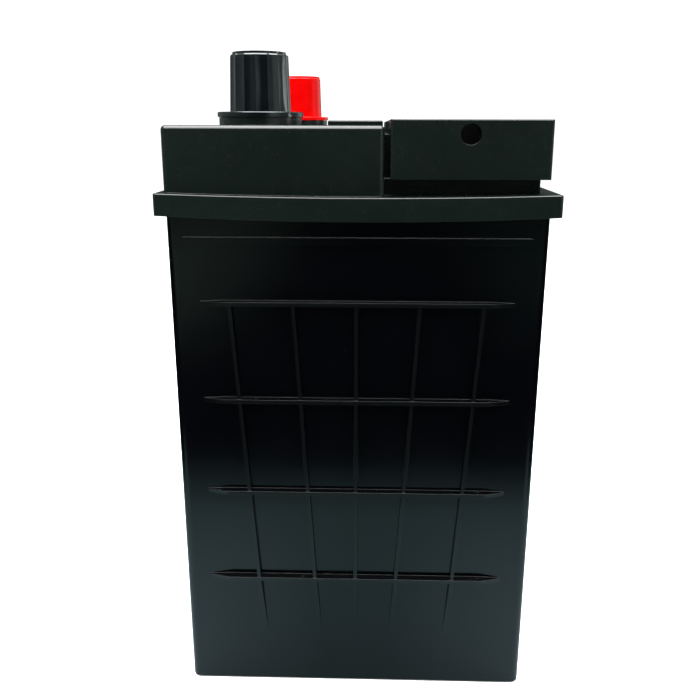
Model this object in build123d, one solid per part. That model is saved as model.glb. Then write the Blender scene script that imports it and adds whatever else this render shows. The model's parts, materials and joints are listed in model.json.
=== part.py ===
from build123d import *

import math
import os

"""A flooded 12 V deep cycle battery of the small Japanese B20 case size, in millimetres.

The origin is the middle of the footprint at the floor. +Z is up, +Y runs along the length, and the
terminals are on the -X side: negative near the -Y end, positive near the +Y end. The six cells stand in
a row along Y. The vent cover on the +X side and the two terminal caps lift off along +Z.
"""

# ---- overall size -------------------------------------------------------------------------------
LENGTH = 197.0  # along Y, over the lid's skirt
WIDTH = 129.0  # along X, over the lid's skirt
COVER_TOP = 203.0  # the vent cover's top, the height without the terminals
FIT_GAP = 0.1  # between pieces that seat on each other but come apart

# ---- container ----------------------------------------------------------------------------------
CASE_OVERHANG_X = 2.7  # the skirt stands out this far past the long walls
CASE_OVERHANG_Y = 3.5  # and this far past the end walls
CASE_WIDTH = WIDTH - 2 * CASE_OVERHANG_X
CASE_LENGTH = LENGTH - 2 * CASE_OVERHANG_Y
CASE_HEIGHT = 176.5
CASE_DRAFT = 0.8  # each wall leans in this much from the top to the floor
CASE_CORNER = 3.0
CASE_INNER_CORNER = 1.0
CASE_FOOT_CHAMFER = 0.8
WALL = 2.5
FLOOR = 3.5
CELLS = 6
PARTITION = 1.8
REST_HEIGHT = 7.5  # the mud rests that hold the plates off the floor
REST_WIDTH = 2.0
REST_PLACES = (-45.0, -15.0, 15.0, 45.0)

# ---- stiffening ribs on both end walls ----------------------------------------------------------
RIB_REACH = 2.2  # from the wall's top edge outwards
RIB_ROOT = 1.5  # how deep a rib is bedded in the wall
RIB_DRAFT = 0.35  # each side of a rib is this much further out at its root
CROSS_RIBS = 4
CROSS_RIB_TOP = 144.6
CROSS_RIB_PITCH = 33.6
CROSS_RIB_THICK = 1.3
CROSS_RIB_HALF = 51.7  # the spear point's distance from the middle
CROSS_RIB_TIP = 7.0  # the length of each spear point
CROSS_RIB_TIP_THICK = 0.7
UPRIGHT_TOPS = (-41.8, -20.9, 0.0, 20.9, 41.8)
UPRIGHT_FEET = (-32.7, -12.9, 0.0, 12.9, 32.7)
UPRIGHT_FOOT = 20.0
UPRIGHT_FADE = 21.0  # the height over which an upright runs out into the wall
UPRIGHT_THICK = 1.15
UPRIGHT_REACH = 1.8
BAR_LOW = 164.2  # the straight bar under the skirt
BAR_HIGH = 166.3
BAR_HALF = 56.2
BAR_REACH = 1.2

# ---- lid ----------------------------------------------------------------------------------------
SKIRT_LOW = 173.2
SKIRT_HIGH = 180.2
SKIRT_DIP_LOW = 1.7  # the skirt's lower edge sags this much at mid width
SKIRT_DIP_HIGH = 1.1  # and its upper edge this much
SKIRT_CORNER = 1.0
SKIRT_ROUND = 0.4
LID_WALL = 2.3
BLOCK_SETBACK = 5.0  # from the skirt's end to the raised parts of the lid
BLOCK_LEFT = -62.2
BLOCK_RIGHT = 8.6
BLOCK_TOP = 201.0
BLOCK_ROUND = 1.5
BLOCK_CORNER = 1.6
PANEL_LEFT = -12.8  # the raised panel between the terminals
PANEL_HALF_LENGTH = 28.5
PANEL_ROUND = 0.6
PLINTH_RIGHT = 59.2  # the plinth that the vent cover sits on
PLINTH_SETBACK = 12.0
PLINTH_TOP = 184.4
WEB_TOP = 198.2  # the web between the block and the vent cover
WEB_SETBACK = 15.0
COLLAR_RADIUS = 13.7
COLLAR_TOP = 203.5
WELL_RADIUS = 7.6  # the six filler wells
WELL_WALL = 1.4
WELL_FOOT = 166.0

# ---- vent cover ---------------------------------------------------------------------------------
COVER_LEFT = 10.4
COVER_RIGHT = 61.3
COVER_LOW = PLINTH_TOP + FIT_GAP
COVER_WALL = 2.0
COVER_ROOF = 1.8
COVER_CORNER = 0.8
COVER_ROUND = 0.5
BASE_THICK = 2.5
STOPPER_RADIUS = 6.7
GAS_HOLE_RADIUS = 1.5  # up through each stopper and the vent base
STOPPER_FOOT = 172.0
STOPPER_CHAMFER = 1.0
GASKET_RADIUS = 7.35
GASKET_HEIGHT = 1.8
GASKET_LOW = 179.0
OUTLET_X = 35.5
OUTLET_Z = 198.4
OUTLET_RADIUS = 3.25
OUTLET_DEPTH = 6.5
OUTLET_BLOCK_WIDTH = 13.0
OUTLET_BLOCK_LOW = 192.0
ARRESTOR_RADIUS = 3.7
ARRESTOR_DEPTH = 3.0

# ---- terminals ----------------------------------------------------------------------------------
TERMINAL_X = -32.6
TERMINAL_SETBACK = 23.4  # from the skirt's end to the terminal's axis
TERMINAL_TAPER = 9.0  # the diameter shrinks by one in this much height
TERMINAL_HEIGHT = 17.5
NEGATIVE_RADIUS = 8.95
POSITIVE_RADIUS = 9.75
ANCHOR_RADIUS = 11.0  # the part moulded into the collar
ANCHOR_LOW = 195.0
ANCHOR_GROOVE = 1.2
PILLAR_RADIUS = 6.0

# ---- terminal caps ------------------------------------------------------------------------------
CAP_LOW = COLLAR_TOP + FIT_GAP
NEGATIVE_CAP_TOP = 223.8
POSITIVE_CAP_TOP = 224.5
CAP_WALL = 1.1
CAP_ROOF = 1.4
CAP_CLEARANCE = 0.15  # around the terminal
CAP_TOP_SHRINK = 0.6  # how much less the radius is at the top
CAP_FLUTES = 16
CAP_FLUTE_DEPTH = 0.5
CAP_SHOULDER = 0.35  # the slope between the flutes and the thin disc on top
CAP_DISC = 0.8  # the height of that disc
BRIM_RADIUS = 14.2
BRIM_THICK = 1.6

# ---- cell elements ------------------------------------------------------------------------------
PLATE_WIDTH = 112.0
PLATE_HEIGHT = 125.0
NEGATIVE_PLATE = 1.8
POSITIVE_PLATE = 2.4
POSITIVE_COUNT = 4
SEPARATOR = 1.0
SEPARATOR_GAP = 0.05
SEPARATOR_WIDTH = 114.5
SEPARATOR_HEIGHT = 128.0
LUG_WIDTH = 11.0
LUG_PLACE = 32.6  # from the middle, on either side
STRAP_LOW = 144.0
STRAP_HEIGHT = 7.0
STRAP_WIDTH = 14.0
TOMBSTONE_THICK = 2.4
TOMBSTONE_WIDTH = 12.0
TOMBSTONE_TOP = 163.0
WELD_RADIUS = 4.0
WELD_HEIGHT = 156.0

CASE_FLOOR_LENGTH = CASE_LENGTH - 2 * CASE_DRAFT
CELL_CLEAR = (CASE_FLOOR_LENGTH - 2 * WALL - (CELLS - 1) * PARTITION) / CELLS
CELL_PITCH = CELL_CLEAR + PARTITION
CELL_MIDDLES = [(cell - (CELLS - 1) / 2) * CELL_PITCH for cell in range(CELLS)]
PARTITION_MIDDLES = [middle + CELL_PITCH / 2 for middle in CELL_MIDDLES[:-1]]
TERMINAL_Y = LENGTH / 2 - TERMINAL_SETBACK
PLATE_LOW = FLOOR + REST_HEIGHT


def block(low, high):
    """A box between two corners."""
    size = [b - a for a, b in zip(low, high)]
    middle = [(a + b) / 2 for a, b in zip(low, high)]
    return Pos(*middle) * Box(*size)


def drum(radius, low, high, x=0.0, y=0.0):
    """An upright cylinder."""
    return Pos(x, y, (low + high) / 2) * Cylinder(radius, high - low)


def case_section(height, inset, corner):
    """The case's level outline at one height, drawn in by its draft and by `inset`."""
    lean = CASE_DRAFT * (1 - height / CASE_HEIGHT) + inset
    outline = RectangleRounded(CASE_WIDTH - 2 * lean, CASE_LENGTH - 2 * lean, corner)
    return Pos(0, 0, height) * outline


def both_ends(piece):
    """The piece and its mirror image at the other end of the battery."""
    return piece + mirror(piece, about=Plane.XZ)


# ---- container ----------------------------------------------------------------------------------
def drafted(outline):
    """A rib's outline at its root, drawn up to the crest with its sides leaning in."""
    depth = RIB_ROOT + RIB_REACH
    return extrude(make_face(outline), depth, taper=math.degrees(math.atan2(RIB_DRAFT, depth)))


def cross_rib(height, wall_face):
    """A level rib whose ends taper to spear points in both width and reach."""
    body = CROSS_RIB_HALF - CROSS_RIB_TIP
    root = wall_face + RIB_ROOT
    plan = Polyline(
        (-CROSS_RIB_HALF, root), (-CROSS_RIB_HALF, wall_face), (-body, wall_face - RIB_REACH),
        (body, wall_face - RIB_REACH), (CROSS_RIB_HALF, wall_face), (CROSS_RIB_HALF, root), close=True,
    )
    thick = CROSS_RIB_THICK / 2 + RIB_DRAFT
    tip = CROSS_RIB_TIP_THICK / 2 + RIB_DRAFT
    slab = extrude(Plane.XY.offset(height - thick) * make_face(plan), 2 * thick)
    spear = Polyline(
        (-CROSS_RIB_HALF, -tip), (-body, -thick), (body, -thick), (CROSS_RIB_HALF, -tip),
        (CROSS_RIB_HALF, tip), (body, thick), (-body, thick), (-CROSS_RIB_HALF, tip), close=True,
    )
    front = Pos(0, root, height) * Rot(90, 0, 0) * drafted(spear)
    return slab & front


def upright_rib(top_x, foot_x, wall_face):
    """A leaning rib from the top cross rib down, running out into the wall at its foot."""
    half = UPRIGHT_THICK / 2 + RIB_DRAFT
    root = wall_face + RIB_ROOT
    strip = Polyline(
        (foot_x - half, UPRIGHT_FOOT), (foot_x + half, UPRIGHT_FOOT),
        (top_x + half, CROSS_RIB_TOP), (top_x - half, CROSS_RIB_TOP), close=True,
    )
    front = Pos(0, root, 0) * Rot(90, 0, 0) * drafted(strip)
    face = wall_face + CASE_DRAFT
    side = Polyline(
        (root, UPRIGHT_FOOT), (face, UPRIGHT_FOOT),
        (wall_face - UPRIGHT_REACH, UPRIGHT_FOOT + UPRIGHT_FADE),
        (wall_face - UPRIGHT_REACH, CROSS_RIB_TOP), (root, CROSS_RIB_TOP), close=True,
    )
    profile = extrude(Plane.YZ.offset(-WIDTH / 2) * make_face(side), WIDTH)
    return front & profile


def end_ribs():
    """The grid of ribs and the bar on the -Y end wall."""
    wall_face = -CASE_LENGTH / 2
    root = wall_face + RIB_ROOT
    ribs = block((-BAR_HALF, wall_face - BAR_REACH, BAR_LOW), (BAR_HALF, root, BAR_HIGH))
    for index in range(CROSS_RIBS):
        ribs += cross_rib(CROSS_RIB_TOP - index * CROSS_RIB_PITCH, wall_face)
    for top_x, foot_x in zip(UPRIGHT_TOPS, UPRIGHT_FEET):
        ribs += upright_rib(top_x, foot_x, wall_face)
    return ribs


def container():
    """The open-topped box with its partitions, mud rests and end ribs."""
    foot = case_section(0, CASE_FOOT_CHAMFER, CASE_CORNER)
    outside = [case_section(height, 0, CASE_CORNER) for height in (CASE_FOOT_CHAMFER, CASE_HEIGHT)]
    shell = loft([foot, *outside], ruled=True)
    hollow = loft([case_section(height, WALL, CASE_INNER_CORNER) for height in (FLOOR, CASE_HEIGHT)])
    half_x = CASE_WIDTH / 2
    inside = Part()
    for y in PARTITION_MIDDLES:
        inside += block((-half_x, y - PARTITION / 2, 0), (half_x, y + PARTITION / 2, CASE_HEIGHT))
    half_y = CASE_LENGTH / 2
    for x in REST_PLACES:
        inside += block((x - REST_WIDTH / 2, -half_y, 0), (x + REST_WIDTH / 2, half_y, PLATE_LOW))
    case = shell - hollow + (inside & hollow)
    case += both_ends(end_ribs() - hollow)
    for index, y in enumerate(PARTITION_MIDDLES):
        hole = Rot(90, 0, 0) * Cylinder(WELD_RADIUS, PARTITION)
        case -= Pos(weld_side(index) * LUG_PLACE, y, WELD_HEIGHT) * hole
    return case


# ---- lid ----------------------------------------------------------------------------------------
def skirt():
    """The flat flange with its gently sagging edges, drawn out along the battery's length."""
    half = WIDTH / 2
    lower = ThreePointArc((-half, SKIRT_LOW), (0, SKIRT_LOW - SKIRT_DIP_LOW), (half, SKIRT_LOW))
    upper = ThreePointArc((-half, SKIRT_HIGH), (0, SKIRT_HIGH - SKIRT_DIP_HIGH), (half, SKIRT_HIGH))
    sides = [Line(lower @ 0, upper @ 0), Line(lower @ 1, upper @ 1)]
    profile = make_face([lower, upper, *sides])
    flange = Pos(0, LENGTH / 2, 0) * Rot(90, 0, 0) * extrude(profile, LENGTH)
    flange = fillet(flange.edges().filter_by(Axis.Z), SKIRT_CORNER)
    rim = flange.edges().filter_by(lambda edge: edge.bounding_box().min.Z > (SKIRT_LOW + SKIRT_HIGH) / 2)
    flange = fillet(rim, SKIRT_ROUND)
    pocket = block(
        (-CASE_WIDTH / 2 - FIT_GAP, -CASE_LENGTH / 2 - FIT_GAP, 0),
        (CASE_WIDTH / 2 + FIT_GAP, CASE_LENGTH / 2 + FIT_GAP, CASE_HEIGHT),
    )
    return flange - pocket


def terminal_block():
    """The raised block that carries the terminals, with its rounded top edges."""
    half_y = LENGTH / 2 - BLOCK_SETBACK
    solid = block((BLOCK_LEFT, -half_y, CASE_HEIGHT), (BLOCK_RIGHT, half_y, BLOCK_TOP))
    solid = fillet(solid.edges().filter_by(Axis.Z), BLOCK_CORNER)
    solid = fillet(solid.faces().sort_by(Axis.Z)[-1].edges(), BLOCK_ROUND)
    panel = block(
        (PANEL_LEFT, -PANEL_HALF_LENGTH, CASE_HEIGHT), (BLOCK_RIGHT, PANEL_HALF_LENGTH, COVER_TOP)
    )
    panel = fillet(panel.faces().sort_by(Axis.Z)[-1].edges(), PANEL_ROUND)
    return solid + panel


def lid_hollow():
    """The space over the cells, divided by the lid's own partitions."""
    inner_y = LENGTH / 2 - BLOCK_SETBACK - LID_WALL
    under_block = block(
        (BLOCK_LEFT + LID_WALL, -inner_y, 0), (BLOCK_RIGHT - LID_WALL, inner_y, BLOCK_TOP - LID_WALL)
    )
    plinth_y = LENGTH / 2 - PLINTH_SETBACK - LID_WALL
    under_plinth = block(
        (BLOCK_RIGHT - LID_WALL, -plinth_y, 0),
        (PLINTH_RIGHT - LID_WALL, plinth_y, PLINTH_TOP - LID_WALL),
    )
    space = under_block + under_plinth
    for y in PARTITION_MIDDLES:
        space -= block(
            (-WIDTH / 2, y - PARTITION / 2, CASE_HEIGHT), (WIDTH / 2, y + PARTITION / 2, COVER_TOP)
        )
    return space


def lid():
    """The lid: skirt, terminal block, collars, plinth, web and filler wells in one moulding."""
    half_y = LENGTH / 2
    body = skirt() + terminal_block()
    body += block(
        (0, -half_y + PLINTH_SETBACK, CASE_HEIGHT), (PLINTH_RIGHT, half_y - PLINTH_SETBACK, PLINTH_TOP)
    )
    body += block(
        (0, -half_y + WEB_SETBACK, CASE_HEIGHT), (COVER_LEFT - FIT_GAP, half_y - WEB_SETBACK, WEB_TOP)
    )
    body -= lid_hollow()
    for y in (-TERMINAL_Y, TERMINAL_Y):
        body += drum(COLLAR_RADIUS, ANCHOR_LOW - LID_WALL, COLLAR_TOP, TERMINAL_X, y)
    for y in CELL_MIDDLES:
        body += drum(WELL_RADIUS + WELL_WALL, WELL_FOOT, PLINTH_TOP, OUTLET_X, y)
    for y in CELL_MIDDLES:
        body -= drum(WELL_RADIUS, WELL_FOOT, PLINTH_TOP, OUTLET_X, y)
    for y, radius in ((-TERMINAL_Y, NEGATIVE_RADIUS), (TERMINAL_Y, POSITIVE_RADIUS)):
        body -= Pos(TERMINAL_X, y, 0) * terminal_shape(radius)
        body -= drum(PILLAR_RADIUS, 0, COLLAR_TOP, TERMINAL_X, y)
    return body


# ---- vent cover ---------------------------------------------------------------------------------
def vent_cover():
    """The long shell, open below, with an outlet through each end wall."""
    half_y = LENGTH / 2 - BLOCK_SETBACK
    shell = block((COVER_LEFT, -half_y, COVER_LOW), (COVER_RIGHT, half_y, COVER_TOP))
    shell = fillet(shell.edges().filter_by(Axis.Z), COVER_CORNER)
    shell = fillet(shell.faces().sort_by(Axis.Z)[-1].edges(), COVER_ROUND)
    shell -= block(
        (COVER_LEFT + COVER_WALL, -half_y + COVER_WALL, 0),
        (COVER_RIGHT - COVER_WALL, half_y - COVER_WALL, COVER_TOP - COVER_ROOF),
    )
    outer = -half_y
    seat = outer + OUTLET_DEPTH
    inner = seat + ARRESTOR_DEPTH
    half_block = OUTLET_BLOCK_WIDTH / 2
    boss = block(
        (OUTLET_X - half_block, outer + COVER_WALL / 2, OUTLET_BLOCK_LOW),
        (OUTLET_X + half_block, inner, COVER_TOP - COVER_ROOF / 2),
    )
    bore = level_drum(OUTLET_RADIUS, outer, seat) + level_drum(ARRESTOR_RADIUS, seat, inner)
    return shell + both_ends(boss) - both_ends(bore)


def level_drum(radius, near, far):
    """A cylinder along Y on the vent outlet's axis."""
    return Pos(OUTLET_X, (near + far) / 2, OUTLET_Z) * Rot(90, 0, 0) * Cylinder(radius, far - near)


def vent_base():
    """The plate that closes the vent cover, with a gas hole over each stopper."""
    half_y = LENGTH / 2 - BLOCK_SETBACK - COVER_WALL
    plate = block(
        (COVER_LEFT + COVER_WALL, -half_y, COVER_LOW),
        (COVER_RIGHT - COVER_WALL, half_y, COVER_LOW + BASE_THICK),
    )
    for y in CELL_MIDDLES:
        plate -= drum(GAS_HOLE_RADIUS, COVER_LOW, COVER_LOW + BASE_THICK, OUTLET_X, y)
    return plate


def stopper(y):
    """A filler stopper that hangs from the vent base into its well, with a gas hole up its middle."""
    plug = drum(STOPPER_RADIUS, STOPPER_FOOT, COVER_LOW, OUTLET_X, y)
    plug = chamfer(plug.edges().sort_by(Axis.Z)[0], STOPPER_CHAMFER)
    return plug - drum(GAS_HOLE_RADIUS, STOPPER_FOOT, COVER_LOW, OUTLET_X, y)


def gasket(y):
    """The sealing ring around a stopper."""
    low, high = GASKET_LOW, GASKET_LOW + GASKET_HEIGHT
    return drum(GASKET_RADIUS, low, high, OUTLET_X, y) - drum(STOPPER_RADIUS, low, high, OUTLET_X, y)


def flame_arrestor(end):
    """The porous plug in the seat behind a vent outlet."""
    seat = LENGTH / 2 - BLOCK_SETBACK - OUTLET_DEPTH
    plug = level_drum(ARRESTOR_RADIUS, -seat, -seat + ARRESTOR_DEPTH)
    return plug if end < 0 else mirror(plug, about=Plane.XZ)


# ---- terminals and caps -------------------------------------------------------------------------
def terminal_shape(radius):
    """A tapered terminal on its grooved anchor, about the Z axis, without its pillar's bore."""
    top = COLLAR_TOP + TERMINAL_HEIGHT
    top_radius = radius - TERMINAL_HEIGHT / TERMINAL_TAPER / 2
    step = (COLLAR_TOP - ANCHOR_LOW) / 3
    neck = ANCHOR_RADIUS - ANCHOR_GROOVE
    outline = Polyline(
        (0, ANCHOR_LOW), (ANCHOR_RADIUS, ANCHOR_LOW), (ANCHOR_RADIUS, ANCHOR_LOW + step),
        (neck, ANCHOR_LOW + step), (neck, COLLAR_TOP - step), (ANCHOR_RADIUS, COLLAR_TOP - step),
        (ANCHOR_RADIUS, COLLAR_TOP), (radius, COLLAR_TOP), (top_radius, top), (0, top), close=True,
    )
    return revolve(Plane.XZ * make_face(outline), Axis.Z)


def terminal(y, radius):
    """A terminal with the bore that its pillar is welded into."""
    piece = terminal_shape(radius) - drum(PILLAR_RADIUS, 0, COLLAR_TOP + TERMINAL_HEIGHT)
    return Pos(TERMINAL_X, y, 0) * piece


def pillar(y):
    """The lead pillar from an end cell's strap to the top of the terminal."""
    return drum(PILLAR_RADIUS, STRAP_LOW + STRAP_HEIGHT, COLLAR_TOP + TERMINAL_HEIGHT, TERMINAL_X, y)


def fluted_outline(radius, height):
    """A star of shallow flutes at one height."""
    corners = []
    for step in range(2 * CAP_FLUTES):
        angle = math.pi * step / CAP_FLUTES
        reach = radius - CAP_FLUTE_DEPTH * (step % 2)
        corners.append((reach * math.cos(angle), reach * math.sin(angle)))
    return Pos(0, 0, height) * make_face(Polyline(*corners, close=True))


def cap(y, terminal_radius, cap_top, fluted):
    """A pull-off cap: a brim on the collar, a tapering barrel and a closed top."""
    ceiling = cap_top - CAP_ROOF
    inner_foot = terminal_radius + CAP_CLEARANCE
    foot = inner_foot + CAP_WALL
    top = foot - CAP_TOP_SHRINK
    shoulder = cap_top - CAP_DISC - CAP_SHOULDER
    levels = ((foot, CAP_LOW), (top, shoulder), (top - CAP_SHOULDER, shoulder + CAP_SHOULDER))
    if fluted:
        barrel = loft([fluted_outline(radius, height) for radius, height in levels], ruled=True)
        disc = top - CAP_SHOULDER - CAP_FLUTE_DEPTH
    else:
        barrel = loft([Pos(0, 0, height) * Circle(radius) for radius, height in levels], ruled=True)
        disc = top - CAP_SHOULDER
    barrel += drum(disc, ceiling, cap_top)
    brim = drum(BRIM_RADIUS, CAP_LOW, CAP_LOW + BRIM_THICK)
    brim = fillet(brim.edges().sort_by(Axis.Z)[-1], BRIM_THICK / 4)
    inner_top = inner_foot - CAP_TOP_SHRINK
    hollow = Pos(0, 0, (CAP_LOW + ceiling) / 2) * Cone(inner_foot, inner_top, ceiling - CAP_LOW)
    return Pos(TERMINAL_X, y, 0) * (barrel + brim - hollow)


# ---- cell elements ------------------------------------------------------------------------------
def weld_side(index):
    """The side of the battery, -1 or 1, on which partition `index` is crossed."""
    return 1 if index % 2 == 0 else -1


def lug_side(cell, polarity):
    """The side of the battery, -1 or 1, of a cell's lugs: the cells are turned end for end in turn."""
    negative = -1 if cell % 2 == 0 else 1
    return negative if polarity == "negative" else -negative


def element_layers():
    """Each layer's kind, near face and far face across one cell's element, from its middle."""
    kinds = ["negative"]
    for _ in range(POSITIVE_COUNT):
        kinds += ["separator", "positive", "separator", "negative"]
    thickness = {"negative": NEGATIVE_PLATE, "positive": POSITIVE_PLATE, "separator": SEPARATOR}
    total = sum(thickness[kind] for kind in kinds) + SEPARATOR_GAP * (len(kinds) - 1)
    near = -total / 2
    layers = []
    for kind in kinds:
        layers.append((kind, near, near + thickness[kind]))
        near += thickness[kind] + SEPARATOR_GAP
    return layers


def plates(cell, polarity):
    """One cell's plates of one polarity, each with the lug that its strap joins."""
    lug_x = lug_side(cell, polarity) * LUG_PLACE
    group = []
    for kind, near, far in element_layers():
        if kind != polarity:
            continue
        y_near, y_far = CELL_MIDDLES[cell] + near, CELL_MIDDLES[cell] + far
        plate = block(
            (-PLATE_WIDTH / 2, y_near, PLATE_LOW), (PLATE_WIDTH / 2, y_far, PLATE_LOW + PLATE_HEIGHT)
        )
        plate += block(
            (lug_x - LUG_WIDTH / 2, y_near, PLATE_LOW + PLATE_HEIGHT), (lug_x + LUG_WIDTH / 2, y_far, STRAP_LOW)
        )
        group.append(plate)
    return Compound(children=group)


def separators(cell):
    """One cell's sheets between its plates."""
    group = []
    for kind, near, far in element_layers():
        if kind == "separator":
            group.append(block(
                (-SEPARATOR_WIDTH / 2, CELL_MIDDLES[cell] + near, PLATE_LOW),
                (SEPARATOR_WIDTH / 2, CELL_MIDDLES[cell] + far, PLATE_LOW + SEPARATOR_HEIGHT),
            ))
    return Compound(children=group)


def strap(cell, polarity):
    """A cast strap over one polarity's lugs, with a tombstone against each partition it is welded to."""
    side = lug_side(cell, polarity)
    x, y = side * LUG_PLACE, CELL_MIDDLES[cell]
    reach = element_layers()[-1][2]
    body = block(
        (x - STRAP_WIDTH / 2, y - reach, STRAP_LOW), (x + STRAP_WIDTH / 2, y + reach, STRAP_LOW + STRAP_HEIGHT)
    )
    for partition, facing in ((cell - 1, -1), (cell, 1)):
        if 0 <= partition < CELLS - 1 and weld_side(partition) == side:
            face = y + facing * CELL_CLEAR / 2
            back = face - facing * TOMBSTONE_THICK
            body += block(
                (x - TOMBSTONE_WIDTH / 2, min(face, back), STRAP_LOW),
                (x + TOMBSTONE_WIDTH / 2, max(face, back), TOMBSTONE_TOP),
            )
    return body


def intercell_welds():
    """The lead plugs that fill the holes through the partitions."""
    plugs = []
    for index, y in enumerate(PARTITION_MIDDLES):
        plug = Rot(90, 0, 0) * Cylinder(WELD_RADIUS, PARTITION)
        plugs.append(Pos(weld_side(index) * LUG_PLACE, y, WELD_HEIGHT) * plug)
    return Compound(children=plugs)


# ---- every piece by name ------------------------------------------------------------------------
def all_pieces():
    """Every sub-part of the battery by its name."""
    pieces = {
        "container": container(),
        "lid": lid(),
        "vent_cover": vent_cover(),
        "vent_base": vent_base(),
        "stopper_gaskets": Compound(children=[gasket(y) for y in CELL_MIDDLES]),
        "flame_arrestor_front": flame_arrestor(-1),
        "flame_arrestor_rear": flame_arrestor(1),
        "negative_terminal": terminal(-TERMINAL_Y, NEGATIVE_RADIUS),
        "positive_terminal": terminal(TERMINAL_Y, POSITIVE_RADIUS),
        "negative_pillar": pillar(-TERMINAL_Y),
        "positive_pillar": pillar(TERMINAL_Y),
        "negative_cap": cap(-TERMINAL_Y, NEGATIVE_RADIUS, NEGATIVE_CAP_TOP, fluted=True),
        "positive_cap": cap(TERMINAL_Y, POSITIVE_RADIUS, POSITIVE_CAP_TOP, fluted=False),
        "intercell_welds": intercell_welds(),
    }
    for cell in range(CELLS):
        number = cell + 1
        pieces[f"stopper_{number}"] = stopper(CELL_MIDDLES[cell])
        pieces[f"separators_{number}"] = separators(cell)
        for polarity in ("negative", "positive"):
            pieces[f"{polarity}_plates_{number}"] = plates(cell, polarity)
            pieces[f"{polarity}_strap_{number}"] = strap(cell, polarity)
    return pieces


os.makedirs("parts", exist_ok=True)
for name, piece in all_pieces().items():
    export_step(piece, f"parts/{name}.step")
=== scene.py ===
"""Looks for the deep cycle battery: materials, edge rounding, stage, light and camera.

Everything is in metres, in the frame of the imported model: origin at the middle of the footprint,
+Z up, +Y along the battery. The CAD nodes keep their shapes. Modifiers round their edges, as a
mould does, except the container's, and procedural materials give them their finish.
"""
import json
import math

import bpy
from mathutils import Matrix, Vector


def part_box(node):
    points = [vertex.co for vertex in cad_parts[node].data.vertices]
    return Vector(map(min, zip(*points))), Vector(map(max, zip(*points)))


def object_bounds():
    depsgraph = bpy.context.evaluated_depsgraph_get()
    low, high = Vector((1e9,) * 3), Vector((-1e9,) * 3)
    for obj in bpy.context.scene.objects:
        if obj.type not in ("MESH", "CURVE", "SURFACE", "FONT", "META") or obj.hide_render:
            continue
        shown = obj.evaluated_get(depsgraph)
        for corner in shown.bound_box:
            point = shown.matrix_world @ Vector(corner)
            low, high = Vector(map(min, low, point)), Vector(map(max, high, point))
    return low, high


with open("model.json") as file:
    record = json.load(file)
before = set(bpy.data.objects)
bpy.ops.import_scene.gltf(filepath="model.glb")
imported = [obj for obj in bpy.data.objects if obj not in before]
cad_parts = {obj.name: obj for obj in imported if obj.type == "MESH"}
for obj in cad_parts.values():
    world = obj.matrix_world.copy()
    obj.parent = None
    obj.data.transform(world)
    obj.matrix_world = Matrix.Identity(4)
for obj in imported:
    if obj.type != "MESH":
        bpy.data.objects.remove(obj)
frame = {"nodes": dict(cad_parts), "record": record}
cad_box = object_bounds()
NODES = frame["nodes"]

MM = 0.001

# ---- camera: level with the lid, close to the end wall ------------------------------------------
CAMERA_SIDE = 5.3 * MM  # from the battery's middle plane, towards the vent cover
CAMERA_DISTANCE = 259.1 * MM  # from the lid's end face
CAMERA_HEIGHT = 200.7 * MM
CAMERA_TURN = math.radians(-1.61)  # towards the terminals
CAMERA_DROP = math.radians(15.48)
CAMERA_ROLL = math.radians(0.14)
CAMERA_LENS = 42.04  # on a 36 mm sensor
CAMERA_RISE = 0.0039  # upward shift of the view, as a share of its width
CAMERA_NEAR = 0.01

# ---- stage --------------------------------------------------------------------------------------
FLOOR_HALF = 12.0
FLOOR_TONE = (0.88, 0.88, 0.88)
WORLD_TONE = (1.0, 1.0, 1.0)
WORLD_STRENGTH = 1.25
MATT_ROUGHNESS = 0.9  # of everything on the stage
TABLE_LIFT = 0.5 * MM  # the table top that reflections see in place of the floor
# the table and the drape are seen only in reflections: their tones are painted reflections on the
# battery's glossy faces
TABLE_HALF = 2.55
TABLE_NEAR_TONE = (0.068, 0.112, 0.114)
TABLE_PALE_TONE = (0.180, 0.250, 0.275)
TABLE_PALE_MIDDLE = 0.22  # the share of the pale tone on the middle plane
TABLE_FAR_TONE = (0.0015, 0.0015, 0.0028)
TABLE_PALE_SIDE = (12 * MM, 66 * MM)  # from the middle plane, plain to pale
TABLE_PALE_AHEAD = (160 * MM, 10 * MM)  # from the battery, plain to pale
TABLE_LIGHT_REACH = 134 * MM  # how far from the battery the table stays pale
TABLE_DARK_REACH = 200 * MM  # and where the dark of the room begins
HAZE_SIDE = (0.11, 0.26)  # a painted reflection of paler cloth beside the dark middle: from the middle plane, dark to pale
HAZE_AHEAD = (0.36, 0.66)  # and beyond the battery's end
REFLECTED_HAZE_LEFT_TONE = (0.07, 0.10, 0.08)
REFLECTED_HAZE_RIGHT_TONE = (0.018, 0.032, 0.026)
# the drape's tones are painted reflections: dark before and behind the battery, paler towards the sides
DRAPE_RADIUS = 2.6
DRAPE_HEIGHT = 1.9
DRAPE_PANELS = 24
DRAPE_TONE = (0.03, 0.04, 0.04)
DRAPE_LEFT_TONE = (0.14, 0.17, 0.18)
DRAPE_RIGHT_TONE = (0.50, 0.54, 0.52)
DRAPE_SIDE = (0.85, 1.5)  # from the middle plane, dark to paler
DRAPE_FLANK_TONE = (0.20, 0.22, 0.21)
DRAPE_FLANK = (2.0, 2.3)  # and on to the flanks' grey

# ---- lights: place, size, aim and power ---------------------------------------------------------
TOP_LIGHT = {"place": (0.0, -0.25, 1.15), "size": 1.35, "power": 88.0}
RIGHT_LIGHT = {"place": (1.5, -0.02, 0.28), "size": 0.25, "power": 0.9}

# ---- edge rounding ------------------------------------------------------------------------------
STORED_NORMALS = "custom_normal"  # where the frame's meshes keep their normals
WELD_DISTANCE = 0.002 * MM
EDGE_ANGLE = math.radians(24)
EDGE_SEGMENTS = 3
EDGES = {"lid": 0.14 * MM, "cap_black": 0.12 * MM, "cap_red": 0.12 * MM}  # by material slot
SMALL_EDGE = 0.15 * MM  # on every other slot
UNBEVELLED = "case"  # the container's rib edges are too fine, so its shader rounds them
ROUND_SAMPLES = 6

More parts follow.
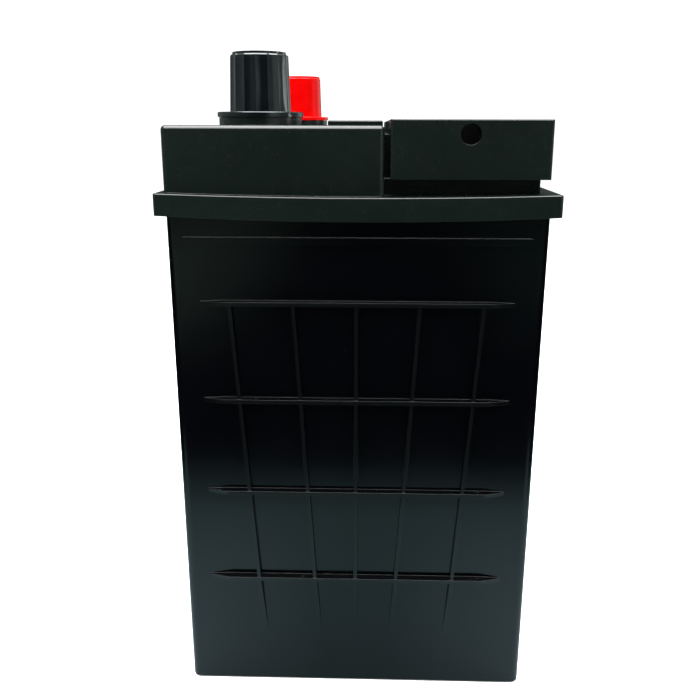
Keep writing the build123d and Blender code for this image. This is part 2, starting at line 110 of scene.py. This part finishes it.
# ---- finishes: noise and speck scales count features in a metre, and a pair is a ramp's two ends --
PLASTIC_IOR = 1.42
PLASTICS = {
    "case": {"tone": (0.0002, 0.0003, 0.0005), "pale": (0.0005, 0.0006, 0.0008), "roughness": 0.13,
             "grain": 0.0015 * MM, "wave": 0.25 * MM, "dust": 0.16, "round_edge": 0.14 * MM},
    "lid": {"tone": (0.0008, 0.0024, 0.0018), "pale": (0.0016, 0.0038, 0.0030), "roughness": 0.26,
            "grain": 0.004 * MM, "wave": 0.12 * MM, "dust": 0.10, "round_edge": 0.16 * MM},
}
BLOOM = {"scale": 38.0, "detail": 4.0, "rough": 0.6}
BLOOM_SPAN = (0.35, 0.75)
BLOOM_SHARE = 0.7
MOTTLE = {"scale": 420.0, "detail": 3.0, "rough": 0.6}
MOTTLE_SPAN = (0.4, 0.8)
MOTTLE_SHINE = (0.88, 1.15)  # shares of the plastic's own roughness
WAVES = {"scale": 22.0, "detail": 1.0}
MOULD_GRAIN = {"scale": 2600.0, "detail": 2.0, "rough": 0.6}

VINYL_IOR = 1.5
VINYL_ROUND = 0.12 * MM
VINYLS = {
    "cap_black": {"tone": (0.0004, 0.0008, 0.0011), "pale": (0.0012, 0.0019, 0.0022),
                  "roughness": 0.10, "sheen": (0.9, 1.0, 1.0)},
    "cap_red": {"tone": (0.31, 0.0, 0.0), "pale": (0.35, 0.001, 0.001),
                "roughness": 0.24, "sheen": (1.0, 0.02, 0.02)},
}
CLOUD = {"scale": 160.0, "detail": 3.0}
CLOUD_SPAN = (0.3, 0.75)
CLOUD_DULLING = 1.3  # the roughness under the cloud, as a multiple of the vinyl's own
DIMPLES = {"scale": 120.0, "detail": 2.0}
DIMPLE_DEPTH = 0.10 * MM
SKIN = {"scale": 3200.0, "detail": 1.0}
SKIN_DEPTH = 0.004 * MM

LEAD_TONE = (0.36, 0.37, 0.39)
OXIDE_TONE = (0.16, 0.165, 0.175)
OXIDE = {"scale": 240.0, "detail": 5.0, "rough": 0.65}
OXIDE_SPAN = (0.35, 0.7)
OXIDE_ROUGHNESS = (0.38, 0.62)
LEAD_METALLIC = 0.85
CASTING = {"scale": 1500.0, "detail": 4.0}
CASTING_DEPTH = 0.03 * MM

GRAINS = {
    "negative_plate": {"tone": (0.22, 0.23, 0.24), "pale": (0.34, 0.35, 0.36),
                       "roughness": 0.7, "scale": 700.0},
    "positive_plate": {"tone": (0.07, 0.03, 0.02), "pale": (0.13, 0.06, 0.04),
                       "roughness": 0.75, "scale": 700.0},
    "separator": {"tone": (0.62, 0.61, 0.57), "pale": (0.74, 0.73, 0.70),
                  "roughness": 0.8, "scale": 500.0},
    "gasket": {"tone": (0.012, 0.012, 0.012), "pale": (0.022, 0.022, 0.022),
               "roughness": 0.6, "scale": 900.0},
    "arrestor": {"tone": (0.002, 0.002, 0.002), "pale": (0.004, 0.004, 0.004),
                 "roughness": 0.9, "scale": 2400.0},
}
GRAIN_DETAIL = 4.0
GRAIN_BREAKUP = 0.65
GRAIN_SPAN = (0.3, 0.75)
GRAIN_DULLING = 1.15
GRAIN_DEPTH = 0.05 * MM

# ---- dust and wear on the plastic ---------------------------------------------------------------
DIRT_TONE = (0.10, 0.11, 0.10)
DIRT_ROUGHNESS = 0.5  # added to the plastic's own
MOTES = {"scale": 260.0, "size": 0.05, "share": 0.03}
LINT = {"scale": 90.0, "size": 0.02, "share": 0.08}
SETTLED = {"scale": 800.0, "size": 0.20, "share": 0.16}  # on faces that look up
SETTLED_STRENGTH = 0.5
SPECK_CORE = 0.6  # the share of a speck's size that is at full strength
UPWARD = (0.3, 0.8)  # the upright part of a face's normal, from sloping to level
FOOT_WEAR = (9 * MM, 1 * MM)  # scuffs run from clean down to worn
CORNER_WEAR = (38 * MM, 60 * MM)  # and from faint mid-width out to the worn corners
MIDDLE_WEAR = 0.25  # the share of the corners' wear that is left mid-width
SCRATCHES = {"scale": 900.0, "detail": 4.0, "rough": 0.75}
SCRATCH_SPAN = (0.64, 0.74)
PATCHES = {"scale": 90.0, "detail": 2.0, "rough": 0.5}
PATCH_SPAN = (0.50, 0.62)
SCUFF_STRENGTH = 0.6
CREST = (2.1 * MM, 1.8 * MM)  # behind the skirt's end, from plain to the ribs' crests, which get a painted sheen
# the crests' paler tone is painted sheen that lightens them
CREST_SHEEN_TONE = (0.0009, 0.0012, 0.0012)
CREST_ROUGHNESS = 0.03  # added to the plastic's own
SHELF_POLISH = 0.66  # share of it left on the ribs' upper faces, which nothing rubs


# ---- node helpers -------------------------------------------------------------------------------
MIX_COLOUR_INPUTS = (6, 7)  # a Mix node's sockets share their names, so these go by number
MIX_COLOUR_OUTPUT = 2


class Shader:
    """A material's node tree with short calls for adding and joining nodes."""

    def __init__(self, name):
        self.material = bpy.data.materials.new(name)
        self.material.use_nodes = True
        self.tree = self.material.node_tree
        self.surface = self.tree.nodes["Principled BSDF"]
        self.place = self.add("ShaderNodeTexCoord").outputs["Object"]  # rides along with its piece

    def add(self, kind, settings=None, **inputs):
        node = self.tree.nodes.new(kind)
        for key, value in (settings or {}).items():
            setattr(node, key, value)
        for key, value in inputs.items():
            self.put(node.inputs[key.replace("_", " ")], value)
        return node

    def put(self, socket, value):
        if isinstance(value, bpy.types.NodeSocket):
            self.tree.links.new(value, socket)
        else:
            socket.default_value = value

    def math(self, operation, first, second=0.0):
        node = self.tree.nodes.new("ShaderNodeMath")
        node.operation = operation
        for socket, value in zip(node.inputs, (first, second)):
            self.put(socket, value)
        return node.outputs[0]

    def noise(self, scale, detail, rough=0.5):
        node = self.add("ShaderNodeTexNoise", Scale=scale, Detail=detail, Roughness=rough,
                        Vector=self.place)
        return node.outputs["Fac"]

    def ramp(self, value, low, high, out_low=0.0, out_high=1.0):
        node = self.tree.nodes.new("ShaderNodeMapRange")
        for key, given in zip(("Value", "From Min", "From Max", "To Min", "To Max"),
                              (value, low, high, out_low, out_high)):
            self.put(node.inputs[key], given)
        node.clamp = True
        return node.outputs["Result"]

    def mix(self, share, first, second):
        node = self.tree.nodes.new("ShaderNodeMix")
        node.data_type = "RGBA"
        self.put(node.inputs["Factor"], share)
        for socket, value in zip(MIX_COLOUR_INPUTS, (first, second)):
            self.put(node.inputs[socket], value)
        return node.outputs[MIX_COLOUR_OUTPUT]

    def bump(self, height, distance, under=None):
        node = self.add("ShaderNodeBump", Strength=1.0, Distance=distance, Height=height)
        if under is not None:
            self.put(node.inputs["Normal"], under)
        return node.outputs["Normal"]

    def axis(self, name):
        """One coordinate of the place being shaded."""
        return self.add("ShaderNodeSeparateXYZ", Vector=self.place).outputs[name]

    def specks(self, scale, size, share):
        """Small scattered dots: 1 on a speck and 0 elsewhere."""
        cells = self.add("ShaderNodeTexVoronoi", Scale=scale, Vector=self.place)
        dot = self.ramp(cells.outputs["Distance"], size, size * SPECK_CORE)
        tone = self.add("ShaderNodeSeparateColor", Color=cells.outputs["Color"])
        chosen = self.math("GREATER_THAN", tone.outputs["Red"], 1 - share)
        return self.math("MULTIPLY", dot, chosen)

    def rounded(self, radius):
        """The surface normal turned smoothly across edges, as a mould radius does."""
        return self.add("ShaderNodeBevel", {"samples": ROUND_SAMPLES}, Radius=radius).outputs["Normal"]

    def upward(self):
        """1 where a face looks up and 0 where it is upright."""
        face = self.add("ShaderNodeNewGeometry").outputs["True Normal"]
        return self.ramp(self.add("ShaderNodeSeparateXYZ", Vector=face).outputs["Z"], *UPWARD)

    def matt(self):
        """Gives the surface the dull finish of everything on the stage."""
        self.surface.inputs["Roughness"].default_value = MATT_ROUGHNESS
        self.surface.inputs["Specular IOR Level"].default_value = 0.0
        return self.material


def rgba(tone):
    """A tone as an opaque colour."""
    return (*tone, 1.0)


# ---- materials ----------------------------------------------------------------------------------
def moulded_plastic(name, tone, pale, roughness, grain, wave, dust, round_edge):
    """Black moulded polypropylene: mould grain, slow waviness, a faint bloom, dust and wear, and painted
    sheen on the ribs' crests.
    """
    shader = Shader(name)
    bloom = shader.math("MULTIPLY", shader.ramp(shader.noise(**BLOOM), *BLOOM_SPAN), BLOOM_SHARE)
    dirt = shader.math("MAXIMUM", dust_specks(shader, dust), scuffs(shader))
    colour = shader.mix(dirt, shader.mix(bloom, rgba(tone), rgba(pale)), rgba(DIRT_TONE))
    crest = crests_with_painted_sheen(shader)
    # the ribs' crests take a paler tone, which is painted sheen
    shader.put(shader.surface.inputs["Base Color"], shader.mix(crest, colour, rgba(CREST_SHEEN_TONE)))
    shader.put(shader.surface.inputs["Roughness"], worn_roughness(shader, roughness, dirt, crest))
    ripple = shader.bump(shader.noise(**WAVES), wave, shader.rounded(round_edge))
    shader.put(shader.surface.inputs["Normal"], shader.bump(shader.noise(**MOULD_GRAIN), grain, ripple))
    shader.surface.inputs["IOR"].default_value = PLASTIC_IOR
    return shader.material


def dust_specks(shader, dust):
    """Motes and lint anywhere, and dust that settles on faces that look up."""
    fallen = shader.math("MAXIMUM", shader.specks(**MOTES), shader.specks(**LINT))
    settled = shader.math("MULTIPLY", shader.upward(), shader.specks(**SETTLED))
    return shader.math("MAXIMUM", shader.math("MULTIPLY", fallen, dust),
                       shader.math("MULTIPLY", settled, SETTLED_STRENGTH))


def scuffs(shader):
    """Fine scuffs low on the walls, thickest towards the corners that knock against things."""
    low = shader.ramp(shader.axis("Z"), *FOOT_WEAR)
    beside = shader.ramp(shader.math("ABSOLUTE", shader.axis("X")), *CORNER_WEAR, MIDDLE_WEAR, 1.0)
    scratch = shader.ramp(shader.noise(**SCRATCHES), *SCRATCH_SPAN)
    patch = shader.ramp(shader.noise(**PATCHES), *PATCH_SPAN)
    worn = shader.math("MULTIPLY", shader.math("MULTIPLY", low, beside), patch)
    return shader.math("MULTIPLY", shader.math("MULTIPLY", worn, scratch), SCUFF_STRENGTH)


def below_lid(shader):
    """1 on the container's walls and 0 on the lid."""
    return shader.math("LESS_THAN", shader.axis("Z"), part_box("lid")[0].z)


def crests_with_painted_sheen(shader):
    """1 on the crests of the end walls' ribs, which get a paler tone as painted sheen and a slightly
    rougher finish.
    """
    inward = shader.math("SUBTRACT", cad_box[1].y, shader.math("ABSOLUTE", shader.axis("Y")))
    upright = shader.math("SUBTRACT", 1.0, shader.upward())
    sheen_crest_mask = shader.math("MULTIPLY", shader.ramp(inward, *CREST), upright)
    return shader.math("MULTIPLY", sheen_crest_mask, below_lid(shader))


def worn_roughness(shader, roughness, dirt, crest):
    """The plastic's mottled shine, duller under dirt and on crests and glossier on the ribs' tops."""
    low, high = (roughness * share for share in MOTTLE_SHINE)
    rough = shader.ramp(shader.ramp(shader.noise(**MOTTLE), *MOTTLE_SPAN), 0.0, 1.0, low, high)
    rough = shader.math("ADD", rough, shader.math("MULTIPLY", dirt, DIRT_ROUGHNESS))
    rough = shader.math("ADD", rough, shader.math("MULTIPLY", crest, CREST_ROUGHNESS))
    shelf = shader.math("MULTIPLY", shader.upward(), below_lid(shader))
    return shader.math("MULTIPLY", rough, shader.ramp(shelf, 0.0, 1.0, 1.0, SHELF_POLISH))


def vinyl(name, tone, pale, roughness, sheen):
    """Glossy soft vinyl, as the terminal caps are dipped or moulded in."""
    shader = Shader(name)
    cloud = shader.ramp(shader.noise(**CLOUD), *CLOUD_SPAN)
    rough = shader.ramp(cloud, 0.0, 1.0, roughness, roughness * CLOUD_DULLING)
    normal = shader.bump(shader.noise(**DIMPLES), DIMPLE_DEPTH, shader.rounded(VINYL_ROUND))
    shader.put(shader.surface.inputs["Base Color"], shader.mix(cloud, rgba(tone), rgba(pale)))
    shader.put(shader.surface.inputs["Roughness"], rough)
    shader.put(shader.surface.inputs["Normal"], shader.bump(shader.noise(**SKIN), SKIN_DEPTH, normal))
    shader.surface.inputs["IOR"].default_value = VINYL_IOR
    shader.surface.inputs["Specular Tint"].default_value = rgba(sheen)
    return shader.material


def cast_lead(name):
    """Dull cast lead with a darker oxide and fine casting grain."""
    shader = Shader(name)
    oxide = shader.ramp(shader.noise(**OXIDE), *OXIDE_SPAN)
    shader.put(shader.surface.inputs["Base Color"], shader.mix(oxide, rgba(LEAD_TONE), rgba(OXIDE_TONE)))
    shader.put(shader.surface.inputs["Roughness"], shader.ramp(oxide, 0.0, 1.0, *OXIDE_ROUGHNESS))
    shader.put(shader.surface.inputs["Normal"], shader.bump(shader.noise(**CASTING), CASTING_DEPTH))
    shader.surface.inputs["Metallic"].default_value = LEAD_METALLIC
    return shader.material


def plain_grain(name, tone, pale, roughness, scale):
    """A matt, slightly uneven surface for plates, separators, gaskets and porous plugs."""
    shader = Shader(name)
    grain = shader.ramp(shader.noise(scale, GRAIN_DETAIL, GRAIN_BREAKUP), *GRAIN_SPAN)
    rough = shader.ramp(grain, 0.0, 1.0, roughness, roughness * GRAIN_DULLING)
    shader.put(shader.surface.inputs["Base Color"], shader.mix(grain, rgba(tone), rgba(pale)))
    shader.put(shader.surface.inputs["Roughness"], rough)
    shader.put(shader.surface.inputs["Normal"], shader.bump(grain, GRAIN_DEPTH))
    return shader.material


def slot_materials():
    """One material for each of the record's slots."""
    made = {"lead": cast_lead("lead")}
    for make, finishes in ((moulded_plastic, PLASTICS), (vinyl, VINYLS), (plain_grain, GRAINS)):
        for name, finish in finishes.items():
            made[name] = make(name, **finish)
    return made


def paint_nodes():
    """Gives every CAD node its slot's material and its rounded edges."""
    materials = slot_materials()
    shading = even_shading()
    for part in frame["record"]["subparts"]:
        node = NODES[part["node"]]
        slot = part["material_slot"]
        for held in node.material_slots:
            held.material = materials[slot]
        if slot != UNBEVELLED:
            soften(node, EDGES.get(slot, SMALL_EDGE), shading)


def even_shading():
    """A modifier's node group, which shades all faces smooth and sets aside their stored normals."""
    group = bpy.data.node_groups.new("even_shading", "GeometryNodeTree")
    for direction in ("INPUT", "OUTPUT"):
        group.interface.new_socket("Geometry", in_out=direction, socket_type="NodeSocketGeometry")
    start = group.nodes.new("NodeGroupInput")
    smooth = group.nodes.new("GeometryNodeSetShadeSmooth")
    fresh = group.nodes.new("GeometryNodeRemoveAttribute")
    fresh.inputs["Name"].default_value = STORED_NORMALS
    end = group.nodes.new("NodeGroupOutput")
    for before, after in ((start, smooth), (smooth, fresh), (fresh, end)):
        group.links.new(before.outputs["Geometry"], after.inputs["Geometry"])
    return group


def soften(node, width, shading):
    """Rounds a CAD node's edges by modifiers, which leave its mesh as it is."""
    node.modifiers.new("shading", "NODES").node_group = shading
    weld = node.modifiers.new("weld", "WELD")
    weld.merge_threshold = WELD_DISTANCE
    bevel = node.modifiers.new("edge", "BEVEL")
    bevel.width = width
    bevel.segments = EDGE_SEGMENTS
    bevel.limit_method = "ANGLE"
    bevel.angle_limit = EDGE_ANGLE
    bevel.harden_normals = True
    bevel.miter_outer = "MITER_ARC"


# ---- stage, light and camera --------------------------------------------------------------------
def stage_mesh(name, corners, faces, material):
    """A mesh of the stage."""
    mesh = bpy.data.meshes.new(name)
    mesh.from_pydata(corners, [], faces)
    made = bpy.data.objects.new(name, mesh)
    made.data.materials.append(material)
    bpy.context.scene.collection.objects.link(made)
    return made


def level_sheet(name, half, height, material):
    """A level square of the stage around the battery."""
    corners = [(-half, -half, height), (half, -half, height), (half, half, height), (-half, half, height)]
    return stage_mesh(name, corners, [(0, 1, 2, 3)], material)


def pale_floor():
    """The floor's plain matt material."""
    shader = Shader("floor")
    shader.surface.inputs["Base Color"].default_value = rgba(FLOOR_TONE)
    return shader.matt()


def reflection_table_top():
    """Painted reflections below glossy faces: a card toned as a pale table top that ends in a dark room
    with a haze in it.
    """
    shader = Shader("reflection_table_top")
    axes = shader.add("ShaderNodeSeparateXYZ", Vector=shader.place)
    off_middle = shader.math("ABSOLUTE", axes.outputs["X"])
    beside = shader.math("SUBTRACT", off_middle, cad_box[1].x)
    beyond = shader.math("SUBTRACT", shader.math("ABSOLUTE", axes.outputs["Y"]), cad_box[1].y)
    away = shader.math("MAXIMUM", beside, beyond)
    reflected_haze = shader.math("MULTIPLY", shader.ramp(off_middle, *HAZE_SIDE),
                       shader.ramp(beyond, *HAZE_AHEAD))
    leftward = shader.math("LESS_THAN", axes.outputs["X"], 0.0)
    reflected_cloth = shader.mix(leftward, rgba(REFLECTED_HAZE_RIGHT_TONE), rgba(REFLECTED_HAZE_LEFT_TONE))
    room = shader.mix(reflected_haze, rgba(TABLE_FAR_TONE), reflected_cloth)
    dark = shader.ramp(away, TABLE_LIGHT_REACH, TABLE_DARK_REACH)
    pale = shader.math("MULTIPLY", shader.ramp(off_middle, *TABLE_PALE_SIDE, TABLE_PALE_MIDDLE, 1.0),
                       shader.ramp(away, *TABLE_PALE_AHEAD))
    near = shader.mix(pale, rgba(TABLE_NEAR_TONE), rgba(TABLE_PALE_TONE))
    shader.put(shader.surface.inputs["Base Color"], shader.mix(dark, near, room))
    return shader.matt()


def reflection_drape_tones():
    """Painted reflections: dark before and behind the battery, paler towards the sides."""
    shader = Shader("reflection_drape")
    axes = shader.add("ShaderNodeSeparateXYZ", Vector=shader.place)
    off_middle = shader.math("ABSOLUTE", axes.outputs["X"])
    leftward = shader.math("LESS_THAN", axes.outputs["X"], 0.0)
    reflected_cloth = shader.mix(leftward, rgba(DRAPE_RIGHT_TONE), rgba(DRAPE_LEFT_TONE))
    tone = shader.mix(shader.ramp(off_middle, *DRAPE_SIDE), rgba(DRAPE_TONE), reflected_cloth)
    tone = shader.mix(shader.ramp(off_middle, *DRAPE_FLANK), tone, rgba(DRAPE_FLANK_TONE))
    shader.put(shader.surface.inputs["Base Color"], tone)
    return shader.matt()


def reflection_drape():
    """A ring of upright panels around the set, seen only in reflections, which show its painted tones."""
    corners = []
    for step in range(DRAPE_PANELS):
        angle = 2 * math.pi * step / DRAPE_PANELS
        for height in (0.0, DRAPE_HEIGHT):
            corners.append((DRAPE_RADIUS * math.cos(angle), DRAPE_RADIUS * math.sin(angle), height))
    panels = []
    for step in range(DRAPE_PANELS):
        here, there = 2 * step, 2 * ((step + 1) % DRAPE_PANELS)
        panels.append((here, there, there + 1, here + 1))
    return stage_mesh("reflection_drape", corners, panels, reflection_drape_tones())


def build_stage():
    """A pale floor, and the surroundings that only reflections see."""
    level_sheet("floor", FLOOR_HALF, 0.0, pale_floor())
    for card in (level_sheet("table", TABLE_HALF, TABLE_LIFT, reflection_table_top()), reflection_drape()):
        card.visible_camera = False
        card.visible_diffuse = False
        card.visible_shadow = False
    world = bpy.data.worlds.new("studio")
    world.use_nodes = True
    world.node_tree.nodes["Background"].inputs["Color"].default_value = rgba(WORLD_TONE)
    world.node_tree.nodes["Background"].inputs["Strength"].default_value = WORLD_STRENGTH
    bpy.context.scene.world = world


def area_light(name, place, size, power):
    """A square soft light aimed at the battery's lid."""
    light = bpy.data.lights.new(name, "AREA")
    light.size = size
    light.energy = power
    lamp = bpy.data.objects.new(name, light)
    lamp.location = place
    aim = Vector((0, 0, cad_box[1].z)) - Vector(place)
    lamp.rotation_mode = "QUATERNION"
    lamp.rotation_quaternion = aim.to_track_quat("-Z", "Y")
    bpy.context.scene.collection.objects.link(lamp)


def place_camera():
    """The camera at the photograph's angle: right, up and back are its three axes."""
    forward = Vector((math.sin(CAMERA_TURN) * math.cos(CAMERA_DROP),
                      math.cos(CAMERA_TURN) * math.cos(CAMERA_DROP),
                      -math.sin(CAMERA_DROP)))
    level = Vector((math.cos(CAMERA_TURN), -math.sin(CAMERA_TURN), 0))
    upright = level.cross(forward)
    right = level * math.cos(CAMERA_ROLL) + upright * math.sin(CAMERA_ROLL)
    up = upright * math.cos(CAMERA_ROLL) - level * math.sin(CAMERA_ROLL)
    place = Vector((CAMERA_SIDE, cad_box[0].y - CAMERA_DISTANCE, CAMERA_HEIGHT))
    data = bpy.data.cameras.new("camera")
    data.lens = CAMERA_LENS
    data.shift_y = CAMERA_RISE
    data.clip_start = CAMERA_NEAR
    camera = bpy.data.objects.new("camera", data)
    turn = Matrix((right, up, -forward)).transposed()
    camera.matrix_world = Matrix.Translation(place) @ turn.to_4x4()
    bpy.context.scene.collection.objects.link(camera)
    bpy.context.scene.camera = camera


bpy.context.scene.view_settings.view_transform = "Standard"
paint_nodes()
build_stage()
area_light("top_light", **TOP_LIGHT)
area_light("right_light", **RIGHT_LIGHT)
place_camera()
